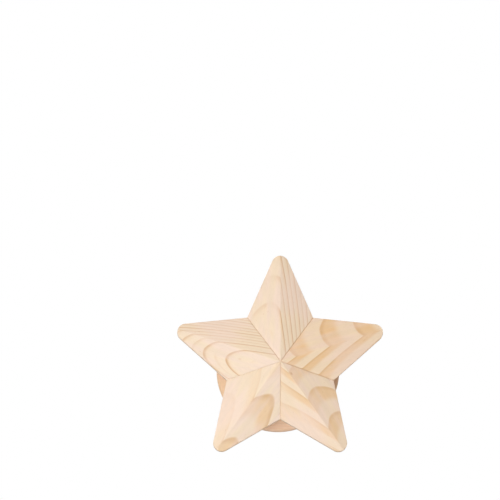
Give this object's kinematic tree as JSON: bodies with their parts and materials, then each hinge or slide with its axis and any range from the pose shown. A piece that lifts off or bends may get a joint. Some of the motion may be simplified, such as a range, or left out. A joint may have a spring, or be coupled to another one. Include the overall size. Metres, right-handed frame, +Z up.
{
  "type": "cat wall step",
  "caption": "Wall-hung step for a cat: a faceted star of mitred pine rays on a hub, with a ribbed tread behind it and a round wall disc.",
  "frame": {"origin": "centre of the wall disc's back face, on the wall and on the axis of the star, the hub and the disc", "axes": "+Y into the wall, so the star faces -Y; +Z up, along the top ray; +X to the right, seen from the front"},
  "size_m": [0.3596, 0.1892, 0.3436],
  "materials": {
    "star_pine": "sanded, unfinished pale pine with honey growth rings",
    "board_pine": "sanded, unfinished pale pine",
    "disc_pine": "sanded pine, a shade warmer than the star",
    "dowel_beech": "fluted beech dowel",
    "screw_steel": "zinc-plated",
    "plate_steel": "zinc-plated pressed sheet"
  },
  "bodies": {
    "root": {"star_ray_top": "star_pine", "star_ray_upper_right": "star_pine", "star_ray_lower_right": "star_pine", "star_ray_lower_left": "star_pine", "star_ray_upper_left": "star_pine", "hub": "board_pine", "tread": "board_pine", "rib_left": "board_pine", "rib_right": "board_pine", "wall_disc": "disc_pine", "seam_dowel_top_inner": "dowel_beech", "seam_dowel_top_outer": "dowel_beech", "seam_dowel_upper_right_inner": "dowel_beech", "seam_dowel_upper_right_outer": "dowel_beech", "seam_dowel_lower_right_inner": "dowel_beech", "seam_dowel_lower_right_outer": "dowel_beech", "seam_dowel_lower_left_inner": "dowel_beech", "seam_dowel_lower_left_outer": "dowel_beech", "seam_dowel_upper_left_inner": "dowel_beech", "seam_dowel_upper_left_outer": "dowel_beech", "rib_dowel_left_front": "dowel_beech", "rib_dowel_left_rear": "dowel_beech", "rib_dowel_right_front": "dowel_beech", "rib_dowel_right_rear": "dowel_beech", "carcass_screw_tread_wall_left": "screw_steel", "carcass_screw_tread_wall_middle": "screw_steel", "carcass_screw_tread_wall_right": "screw_steel", "carcass_screw_tread_hub_left": "screw_steel", "carcass_screw_tread_hub_middle": "screw_steel", "carcass_screw_tread_hub_right": "screw_steel", "carcass_screw_rib_wall_left_upper": "screw_steel", "carcass_screw_rib_wall_left_lower": "screw_steel", "carcass_screw_rib_wall_right_upper": "screw_steel", "carcass_screw_rib_wall_right_lower": "screw_steel", "carcass_screw_rib_hub_left": "screw_steel", "carcass_screw_rib_hub_right": "screw_steel", "star_screw_top_left": "screw_steel", "star_screw_top_right": "screw_steel", "star_screw_upper_right_left": "screw_steel", "star_screw_upper_right_right": "screw_steel", "star_screw_lower_right_left": "screw_steel", "star_screw_lower_right_right": "screw_steel", "star_screw_lower_left_left": "screw_steel", "star_screw_lower_left_right": "screw_steel", "star_screw_upper_left_left": "screw_steel", "star_screw_upper_left_right": "screw_steel", "keyhole_plate_left": "plate_steel", "keyhole_plate_right": "plate_steel", "plate_screw_left_upper": "screw_steel", "plate_screw_left_lower": "screw_steel", "plate_screw_right_upper": "screw_steel", "plate_screw_right_lower": "screw_steel"}
  },
  "joints": []
}
